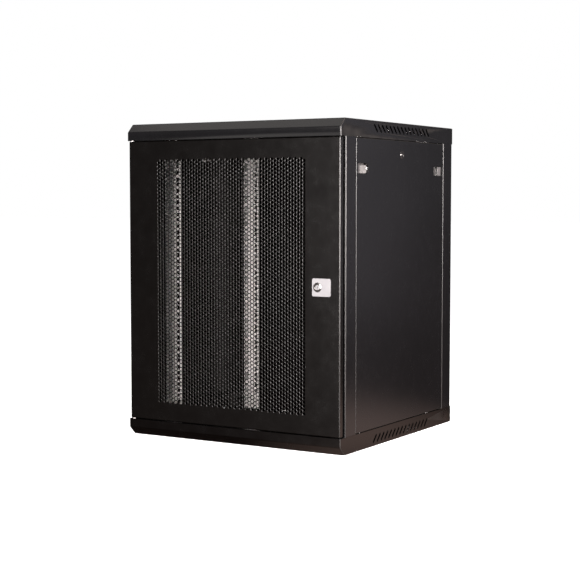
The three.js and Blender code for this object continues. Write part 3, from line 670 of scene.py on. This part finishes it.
def cover(node, is_top):
    """A folded tray with a bevelled front, a hem behind its front edge, side vents and a cable entry."""
    low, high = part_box(node)
    face, skirt = (high.z, low.z) if is_top else (low.z, high.z)
    bevel = -COVER_BEVEL if is_top else COVER_BEVEL
    profile = [
        (low.y, skirt),
        (low.y, face + bevel),
        (low.y + COVER_BEVEL, face),
        (high.y, face),
        (high.y, skirt),
    ]
    bm = bmesh.new()
    left = [bm.verts.new((low.x, y, z)) for y, z in profile]
    right = [bm.verts.new((high.x, y, z)) for y, z in profile]
    bm.faces.new(left)
    bm.faces.new(right)
    for i in range(len(profile) - 1):
        bm.faces.new((left[i], left[i + 1], right[i + 1], right[i]))
    bmesh.ops.recalc_face_normals(bm, faces=bm.faces)
    outward = next(f for f in bm.faces if abs(f.normal.z) > 0.9)
    if (outward.normal.z > 0) != is_top:
        bmesh.ops.reverse_faces(bm, faces=bm.faces)
    round_bends(bm, BEND)
    obj = thicken(link(f"{node}_sheet", bm))
    hem = bmesh.new()
    edge = sorted((skirt, skirt + math.copysign(SHEET, face - skirt)))
    outline = rectangle(-HEM_REACH, HEM_REACH, low.y + SHEET / 2, low.y + HEM_DEPTH)
    add_prism(hem, outline, 2, edge[0], edge[1])
    join(obj, hem)
    cutter = bmesh.new()
    vent_cuts(cutter, low, high, is_top)
    entry_cuts(cutter, high.y - ENTRY_TO_BACK, face)
    if is_top:
        fan_cuts(cutter, face)
    soften(cut(obj, cutter))
    # The bottom cover takes the darker copy of the coat: painted shade.
    stands_for(obj, node, BLACK if is_top else SHADED_LOW_BLACK)


# ---- Posts

def post_outline(face, side, depth, seat, sheet=SHEET):
    """The folded section: face, side, step and seat, from the outward face at 0 towards +y."""
    half = sheet / 2
    path = [
        (face, half),
        (side - half, half),
        (side - half, depth - half),
        (seat + half, depth - half),
        (seat + half, depth + POST_SEAT),
    ]
    return ribbon(rounded_path(path, BEND - half), half)


def post(end, post_depth):
    """Both posts of the cabinet's front or rear, from the right one's place."""
    node = f"{end}_right_post"
    low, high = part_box(node)
    cover_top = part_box("bottom_cover")[1].z
    total = low.z + high.z
    outward, turn = (low.y, 1) if end == "front" else (high.y, -1)
    seat = high.x - POST_SEAT
    tucked = high.x - SHEET - GAP

    def placed(outline):
        return [(x, outward + turn * y) for x, y in outline]

    whole = placed(post_outline(low.x, high.x, post_depth, seat))
    ends = placed(post_outline(low.x, tucked, post_depth, seat))
    bm = bmesh.new()
    body_low = cover_top + GAP
    add_prism(bm, whole, 2, body_low, total - body_low)
    obj = link(f"{node}_sheet", bm)
    for start, stop in ((low.z, body_low + POST_END), (total - body_low - POST_END, high.z)):
        extra = bmesh.new()
        add_prism(extra, ends, 2, start, stop)
        join(obj, extra)
    slot = bmesh.new()
    panel_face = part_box("right_side_panel")[1].x
    step_y = outward + turn * post_depth
    outline = rectangle(
        panel_face - TONGUE_BASE - TONGUE_SLOT_PLAY,
        panel_face - TONGUE_TOP + TONGUE_SLOT_PLAY,
        LATCH_Z - TONGUE_HEIGHT / 2 - TONGUE_SLOT_PLAY_HIGH,
        LATCH_Z + TONGUE_HEIGHT / 2 + TONGUE_SLOT_PLAY_HIGH,
    )
    add_prism(slot, outline, 1, step_y - BEYOND, step_y + BEYOND)
    cut(obj, slot)
    other = mirrored(obj, f"{end}_left_post_sheet")
    for made, name in ((obj, node), (other, f"{end}_left_post")):
        soften(made)
        stands_for(made, name)


# ---- Side panels

def latch_outline(edge, inward):
    """The opening over a slide latch: square towards the panel's edge and round at the far end."""
    half = LATCH_HEIGHT / 2
    outline = [(LATCH_NEAR, -half)] + arc(LATCH_FAR - half, 0, half, -90, 90, 16) + [(LATCH_NEAR, half)]
    return [(edge + inward * y, LATCH_Z + z) for y, z in outline]


def side_panels():
    low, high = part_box("right_side_panel")
    low.z += HOOK_DROP
    middle = (low.y + high.y) / 2
    bm = open_box(low, high, 0, -1)
    round_bends(bm, BEND)
    obj = thicken(link("right_side_panel_sheet", bm))
    hooks = bmesh.new()
    hook_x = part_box("front_right_post")[1].x - HOOK_INSET
    for y in (middle - HOOK_Y, middle + HOOK_Y):
        outline = rectangle(y - HOOK_WIDTH / 2, y + HOOK_WIDTH / 2, low.z - HOOK_DROP, low.z + SHEET / 2)
        add_prism(hooks, outline, 0, hook_x, hook_x + SHEET)
    join(obj, hooks)
    cutter = bmesh.new()
    for edge, inward in ((low.y, 1), (high.y, -1)):
        add_prism(cutter, latch_outline(edge, inward), 0, high.x - 2 * SHEET, high.x + BEYOND)
        tongue = rectangle(
            high.x - TONGUE_BASE - TONGUE_PLAY,
            high.x - TONGUE_TOP + TONGUE_PLAY,
            LATCH_Z - TONGUE_HEIGHT / 2 - TONGUE_PLAY_HIGH,
            LATCH_Z + TONGUE_HEIGHT / 2 + TONGUE_PLAY_HIGH,
        )
        add_prism(cutter, tongue, 1, edge - BEYOND, edge + BEYOND)
    lock_low, lock_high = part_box("right_side_lock_barrel")
    lock_y = (lock_low.y + lock_high.y) / 2
    lock_z = (lock_low.z + lock_high.z) / 2
    add_prism(cutter, circle(lock_y, lock_z, SIDE_LOCK_HOLE), 0, high.x - 2 * SHEET, high.x + BEYOND)
    cam_low, cam_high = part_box("right_side_lock_cam")
    cam_slot = rectangle(
        cam_low.x - CAM_SLOT_PLAY,
        cam_high.x + CAM_SLOT_PLAY,
        lock_y - CAM_SLOT_BEFORE,
        lock_y + CAM_SLOT_BEYOND,
    )
    add_prism(cutter, cam_slot, 2, high.z - BEYOND, high.z + BEYOND)
    cut(obj, cutter)
    other = mirrored(obj, "left_side_panel_sheet")
    for made, name in ((obj, "right_side_panel"), (other, "left_side_panel")):
        soften(made)
        stands_for(made, name)


# ---- Back panel

def back_panel():
    low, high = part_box("back_panel")
    bm = open_box(low, high, 1, -1)
    round_bends(bm, BEND)
    obj = thicken(link("back_panel_sheet", bm))
    cutter = bmesh.new()
    for x in (-KEYHOLE_X, KEYHOLE_X):
        for z in (low.z + KEYHOLE_FROM_BOTTOM, high.z - KEYHOLE_FROM_TOP):
            head = bmesh.new()
            add_prism(head, circle(x, z, KEYHOLE_RADIUS), 1, high.y - BEYOND, high.y + BEYOND)
            cut(obj, head)
            outline = slot_outline(x, z + KEYHOLE_SLOT_RISE, KEYHOLE_SLOT, KEYHOLE_RADIUS, 90)
            add_prism(cutter, outline, 1, high.y - BEYOND, high.y + BEYOND)
    soften(cut(obj, cutter))
    # The back panel takes the darker copy of the coat: painted shade.
    stands_for(obj, "back_panel", SHADED_INNER_BLACK)


# ---- Door

def hole_centres(middle_z):
    columns = HOLE_PITCH * math.cos(math.pi / 6)
    centres = []
    for i in range(HOLE_COLUMNS):
        x = HOLES_MIDDLE_X + (i - (HOLE_COLUMNS - 1) / 2) * columns
        shift = HOLE_PITCH / 4 if i % 2 else -HOLE_PITCH / 4
        for j in range(HOLE_ROWS):
            centres.append((x, middle_z + (j - (HOLE_ROWS - 1) / 2) * HOLE_PITCH + shift))
    return centres


def hexagon(x, z, apothem):
    return circle(x, z, apothem / math.cos(math.pi / 6), 6)


def perforated_field(bm, centres, y):
    """One ring of six faces round each hole. Returns the loose outline as edges between points."""
    corners = {}
    used = {}
    for x, z in centres:
        inner = [bm.verts.new((a, y, b)) for a, b in hexagon(x, z, HOLE_APOTHEM)]
        outer = []
        for a, b in hexagon(x, z, HOLE_PITCH / 2):
            key = (round(a * 1e6), round(b * 1e6))
            if key not in corners:
                near = [(key[0] + i, key[1] + j) for i in (-1, 0, 1) for j in (-1, 0, 1)]
                known = next((k for k in near if k in corners), None)
                corners[key] = corners[known] if known else bm.verts.new((a, y, b))
            outer.append(corners[key])
        for k in range(6):
            n = (k + 1) % 6
            bm.faces.new((outer[k], outer[n], inner[n], inner[k]))
            edge = (outer[k], outer[n])
            used.setdefault(frozenset(edge), []).append(edge)
    return [edges[0] for edges in used.values() if len(edges) == 1]


def in_field(points, centres):
    """True for each point that lies in a hole's cell."""
    away = np.abs(points[:, None, :] - np.array(centres)[None, :, :])
    reach = HOLE_PITCH / 2
    slanted = away[:, :, 0] * math.cos(math.pi / 6) + away[:, :, 1] / 2
    return ((away[:, :, 1] < reach) & (slanted < reach)).any(axis=1)


def door_border(bm, rim, outline, centres):
    """Plain sheet between the perforated field and the folds."""
    verts = list(rim)
    index = {vert: i for i, vert in enumerate(verts)}
    for edge in outline:
        for vert in edge:
            if vert not in index:
                index[vert] = len(verts)
                verts.append(vert)
    edges = [(i, (i + 1) % len(rim)) for i in range(len(rim))]
    edges += [(index[a], index[b]) for a, b in outline]
    flat = [Vector((v.co.x, v.co.z)) for v in verts]
    result = delaunay_2d_cdt(flat, edges, [], 1, 1e-9)
    places, faces, origins = result[0], result[2], result[3]
    middles = np.array([[sum(places[i][k] for i in face) / len(face) for k in (0, 1)] for face in faces])
    inside = in_field(middles, centres)
    for face, skip in zip(faces, inside):
        if not skip:
            bm.faces.new([verts[origins[i][0]] for i in face])


def door_shell(low, high, centres):
    bm = open_box(low, high, 1, 1)
    rim = [e for e in bm.edges if len(e.link_faces) == 1]
    made = bmesh.ops.extrude_edge_only(bm, edges=rim)["geom"]
    middle = (low + high) / 2
    for vert in (v for v in made if isinstance(v, bmesh.types.BMVert)):
        vert.co.x -= math.copysign(DOOR_LIP, vert.co.x - middle.x)
        vert.co.z -= math.copysign(DOOR_LIP, vert.co.z - middle.z)
    bmesh.ops.recalc_face_normals(bm, faces=bm.faces)
    round_bends(bm, BEND)
    bm.normal_update()
    upright = [f for f in bm.faces if abs(f.normal.y) > 0.99]
    foremost = [f for f in upright if abs(f.calc_center_median().y - low.y) < 1e-5]
    front = max(foremost, key=lambda f: f.calc_area())
    if front.normal.y > 0:
        bmesh.ops.reverse_faces(bm, faces=bm.faces)
    rim = [loop.vert for loop in front.loops]
    bmesh.ops.delete(bm, geom=[front], context="FACES_ONLY")
    outline = perforated_field(bm, centres, low.y)
    door_border(bm, rim, outline, centres)
    bmesh.ops.dissolve_degenerate(bm, dist=1e-9, edges=bm.edges)
    bmesh.ops.recalc_face_normals(bm, faces=bm.faces)
    return bm


def round_hole_rims(obj, front, reach_x, reach_z, middle_z):
    """Breaks the front rim of each hole in the perforated field."""
    bm = bmesh.new()
    bm.from_mesh(obj.data)
    rims = []
    for edge in bm.edges:
        if any(abs(v.co.y - front) > 1e-6 for v in edge.verts) or len(edge.link_faces) != 2:
            continue
        place = (edge.verts[0].co + edge.verts[1].co) / 2
        inside = abs(place.x - HOLES_MIDDLE_X) < reach_x and abs(place.z - middle_z) < reach_z
        if inside and edge.calc_face_angle() > 1:
            rims.append(edge)
    bmesh.ops.bevel(bm, geom=rims, offset=HOLE_RIM, segments=1, profile=0.5, affect="EDGES")
    bm.to_mesh(obj.data)
    bm.free()


def door():
    low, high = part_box("door_panel")
    middle_z = (low.z + high.z) / 2
    centres = hole_centres(middle_z)
    obj = thicken(link("door_sheet", door_shell(low, high, centres)))
    reach = (np.abs(np.array(centres) - (HOLES_MIDDLE_X, middle_z))).max(axis=0) + HOLE_PITCH / 2
    round_hole_rims(obj, low.y, reach[0], reach[1], middle_z)
    hinge_x = low.x - DOOR_SIDE_GAP + HINGE_INSET
    hinge_y = low.y - DOOR_SETBACK + HINGE_INSET
    guide = bmesh.new()
    outline = rectangle(
        low.x + SHEET / 2,
        hinge_x + GUIDE_REACH_X,
        low.y + SHEET / 2,
        hinge_y + GUIDE_REACH_Y,
    )
    add_prism(guide, outline, 2, GUIDE_Z, GUIDE_Z + GUIDE_THICKNESS)
    join(obj, guide)
    cutter = bmesh.new()
    lock_low, lock_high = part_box("door_lock_barrel")
    lock_x, lock_z = (lock_low.x + lock_high.x) / 2, (lock_low.z + lock_high.z) / 2
    add_prism(cutter, circle(lock_x, lock_z, DOOR_LOCK_HOLE), 1, low.y - BEYOND, low.y + BEYOND)
    add_prism(cutter, circle(hinge_x, hinge_y, PIN_HOLE, 24), 2, low.z - BEYOND, low.z + BEYOND)
    add_prism(cutter, circle(hinge_x, hinge_y, PIN_HOLE, 24), 2, GUIDE_Z - BEYOND, high.z + BEYOND)
    cut(obj, cutter)
    for polygon in obj.data.polygons:
        polygon.use_smooth = True
    obj.data.set_sharp_from_angle(angle=math.radians(50))
    normals = obj.modifiers.new("shading", "WEIGHTED_NORMAL")
    normals.keep_sharp = True
    # The door takes the darker copy of the coat: painted shade.
    stands_for(obj, "door_panel", SHADED_DOOR_BLACK)


# ---- Locks

def lock_plate():
    low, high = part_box("door_lock_plate")
    bm = bmesh.new()
    add_prism(bm, rounded_rectangle(low.x, high.x, low.z, high.z, PLATE_CORNER), 1, low.y, high.y)
    obj = link("door_lock_plate_face", bm)
    lock_low, lock_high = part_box("door_lock_barrel")
    hole = bmesh.new()
    x, z = (lock_low.x + lock_high.x) / 2, (lock_low.z + lock_high.z) / 2
    add_prism(hole, circle(x, z, DOOR_BEZEL + PLATE_HOLE_PLAY, 48), 1, low.y - BEYOND, high.y + BEYOND)
    soften(cut(obj, hole), PLATE_RIM, 3)
    stands_for(obj, "door_lock_plate", PEARL)


def lock(node, bezel, bezel_depth, rim, axis, direction, bezel_finish, plug_finish):
    """A bezel with its barrel, and a plug with a key slot, from the CAD pieces' places."""
    low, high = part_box(f"{node}_barrel")
    place = (low + high) / 2
    place[axis] = low[axis] if direction > 0 else high[axis]
    length = high[axis] - low[axis]
    bore = PLUG_RADIUS + PLUG_CLEARANCE
    shank = bezel - SHANK_STEP
    crown = bezel - bore
    lip = [(bore + out, deep) for out, deep in LIP]
    profile = [
        *lip,
        *[(bore + out * crown, down * bezel_depth) for out, down in rim],
        (bezel, bezel_depth),
        (shank, bezel_depth),
        (shank, length),
        (bore, length),
        lip[0],
    ]
    barrel = turned(f"{node}_bezel", profile, 64, place, axis, direction)
    soften(barrel, 0)
    stands_for(barrel, f"{node}_barrel", bezel_finish)
    plug_low, plug_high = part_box(f"{node}_plug")
    reach = plug_high[axis] - plug_low[axis] + SPIGOT_BEYOND
    cam_low, cam_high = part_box(f"{node}_cam")
    near = min(abs(cam_low[axis] - place[axis]), abs(cam_high[axis] - place[axis])) - CAM_CLEARANCE
    profile = [
        (0, NOSE[0][1]),
        *[(PLUG_RADIUS - inset, deep) for inset, deep in NOSE],
        (PLUG_RADIUS, near),
        (SPIGOT_RADIUS, near),
        (SPIGOT_RADIUS, reach),
        (0, reach),
    ]
    plug = turned(f"{node}_key_plug", profile, 48, place, axis, direction)
    slot = bmesh.new()
    half = (KEY_SLOT_WIDTH / 2, KEY_SLOT_HEIGHT / 2)
    across = place[1 - axis]
    outline = rectangle(across - half[0], across + half[0], place.z - half[1], place.z + half[1])
    start, stop = sorted((place[axis] - direction * BEYOND, place[axis] + direction * KEY_SLOT_DEPTH))
    add_prism(slot, outline, axis, start, stop)
    soften(cut(plug, slot), KEY_SLOT_RIM)
    stands_for(plug, f"{node}_plug", plug_finish)


# ---- The CAD pieces that are shown as they are

def finish_cad(name, obj):
    """Rounds a CAD piece's edges and gives it its finish."""
    # Latch pieces take the darker zinc copy: painted shade.
    shaded_latch = SLOTS[name] == "zinc_plate" and "latch" in name
    paint(obj, SHADED_LATCH_ZINC if shaded_latch else FINISHES[SLOTS[name]])
    for polygon in obj.data.polygons:
        polygon.use_smooth = True
    weld = obj.modifiers.new("weld", "WELD")
    weld.merge_threshold = CAD_WELD
    flat = obj.modifiers.new("flat", "DECIMATE")
    flat.decimate_type = "DISSOLVE"
    flat.angle_limit = math.radians(CAD_FLAT_ANGLE)
    if "spring" not in name:
        bevel = obj.modifiers.new("rim", "BEVEL")
        bevel.width = THIN_RIM if "rail" in name or "bracket" in name else RIM
        bevel.segments = 2
        bevel.limit_method = "ANGLE"
        bevel.angle_limit = math.radians(CAD_RIM_ANGLE)
    normals = obj.modifiers.new("shading", "WEIGHTED_NORMAL")
    normals.keep_sharp = False


# ---- Stage: floor, backdrop, lights and camera

def floor():
    """A pale floor. Light from the object sees it as dark, with a warm patch beside the cabinet."""
    bm = bmesh.new()
    bmesh.ops.create_grid(bm, x_segments=1, y_segments=1, size=FLOOR_SIZE)
    obj = link("floor", bm)
    obj.location.z = -FLOOR_DROP
    s = Shader("pale_floor")
    grain = s.noise(40.0, 4.0)
    s.feed(s.surface.inputs["Base Color"], s.blend(grain, (0.9, 0.9, 0.9, 1), (0.94, 0.94, 0.94, 1)))
    s.surface.inputs["Roughness"].default_value = 0.8
    s.surface.inputs["Emission Color"].default_value = (1, 1, 1, 1)
    away = s.node("ShaderNodeVectorMath", {0: s.place}, operation="LENGTH").outputs["Value"]
    s.feed(s.surface.inputs["Emission Strength"], s.remap(away, 0.35, 0.8, 0.8, 1.0))
    patch = s.node("ShaderNodeVectorMath", {0: s.place, 1: WARM_PATCH}, operation="DISTANCE")
    near = patch.outputs["Value"]
    warm = s.node("ShaderNodeEmission", {"Color": (1.0, 0.7, 0.6, 1)})
    s.feed(warm.inputs["Strength"], s.remap(near, 0.4, 0.8, 0.6, 0.035))
    seen = s.node("ShaderNodeLightPath").outputs["Is Camera Ray"]
    mix = s.node("ShaderNodeMixShader", {0: seen, 1: warm.outputs[0], 2: s.surface.outputs[0]})
    s.tree.links.new(mix.outputs[0], s.output.inputs["Surface"])
    obj.data.materials.append(s.material)


def backdrop():
    """White to the camera, and a dim studio, lighter behind the cabinet, to everything else."""
    world = bpy.data.worlds.new("studio")
    world.use_nodes = True
    tree = world.node_tree
    tree.nodes.clear()
    output = tree.nodes.new("ShaderNodeOutputWorld")
    white = tree.nodes.new("ShaderNodeBackground")
    white.inputs["Color"].default_value = (1, 1, 1, 1)
    dim = tree.nodes.new("ShaderNodeBackground")
    dim.inputs["Color"].default_value = (1.0, 0.96, 1.0, 1)
    place = tree.nodes.new("ShaderNodeTexCoord").outputs["Generated"]
    across = tree.nodes.new("ShaderNodeVectorMath")
    across.operation = "DOT_PRODUCT"
    tree.links.new(place, across.inputs[0])
    across.inputs[1].default_value = (0.45, 0.87, 0.2)
    fade = tree.nodes.new("ShaderNodeMapRange")
    tree.links.new(across.outputs["Value"], fade.inputs["Value"])
    fade.inputs["From Min"].default_value = -1
    fade.inputs["To Min"].default_value = STUDIO_FRONT
    fade.inputs["To Max"].default_value = STUDIO_BACK
    tree.links.new(fade.outputs[0], dim.inputs["Strength"])
    path = tree.nodes.new("ShaderNodeLightPath")
    mix = tree.nodes.new("ShaderNodeMixShader")
    tree.links.new(path.outputs["Is Camera Ray"], mix.inputs[0])
    tree.links.new(dim.outputs[0], mix.inputs[1])
    tree.links.new(white.outputs[0], mix.inputs[2])
    tree.links.new(mix.outputs[0], output.inputs["Surface"])
    bpy.context.scene.world = world


def softbox(name, place, aim, width, height, power, colour=(1, 1, 1)):
    data = bpy.data.lights.new(name, "AREA")
    data.shape = "RECTANGLE"
    data.size = width
    data.size_y = height
    data.energy = power
    data.color = colour
    obj = bpy.data.objects.new(name, data)
    bpy.context.scene.collection.objects.link(obj)
    obj.location = place
    obj.rotation_euler = (Vector(aim) - Vector(place)).to_track_quat("-Z", "Y").to_euler()
    obj.visible_camera = False
    return obj


def lights():
    softbox("low_key_box", (0.28, -3.3, 0.56), (0.25, 0, 0.5), 1.2, 1.0, 168, WARM_LIGHT)
    softbox("high_key_box", (0.4, -3.1, 1.75), (0.2, -0.2, 0.5), 1.0, 1.4, 70, WARM_LIGHT)
    softbox("rim_box", (2.03, -1.25, 2.43), (-0.05, -0.28, 0.5), 1.0, 1.0, 70, WARM_LIGHT)
    softbox("right_box", (2.8, -0.65, 0.8), (0.3, 0, 0.55), 1.5, 0.8, 185, WARM_LIGHT)
    softbox("side_box", (2.5, 2.6, 0.85), (0.3, 0, 0.5), 1.4, 1.7, 2.7, (0.98, 0.92, 1.03))
    softbox("overhead_box", (-0.7, -0.4, 2.6), (0, -0.2, 0.6), 2.0, 1.6, 8, (1.0, 0.95, 0.9))


def camera():
    data = bpy.data.cameras.new("camera")
    data.lens = CAMERA_LENS
    data.sensor_width = SENSOR_WIDTH
    obj = bpy.data.objects.new("camera", data)
    bpy.context.scene.collection.objects.link(obj)
    obj.location = CAMERA_PLACE
    obj.rotation_euler = (math.radians(90 - CAMERA_DIP), 0, math.radians(CAMERA_TURN))
    bpy.context.scene.camera = obj


cover("bottom_cover", False)
cover("top_cover", True)
post("front", FRONT_POST_DEPTH)
post("rear", REAR_POST_DEPTH)
side_panels()
back_panel()
door()
lock_plate()
lock("door_lock", DOOR_BEZEL, DOOR_BEZEL_DEPTH, DOME, 1, 1, SATIN, PEARL)
lock("right_side_lock", SIDE_BEZEL, SIDE_BEZEL_DEPTH, CHAMFER, 0, -1, DARK_SATIN, DARK_SATIN)
lock("left_side_lock", SIDE_BEZEL, SIDE_BEZEL_DEPTH, CHAMFER, 0, 1, DARK_SATIN, DARK_SATIN)
for node_name, node_object in frame["nodes"].items():
    if not node_object.hide_render:
        finish_cad(node_name, node_object)
floor()
backdrop()
lights()
camera()
bpy.context.scene.view_settings.view_transform = "Standard"
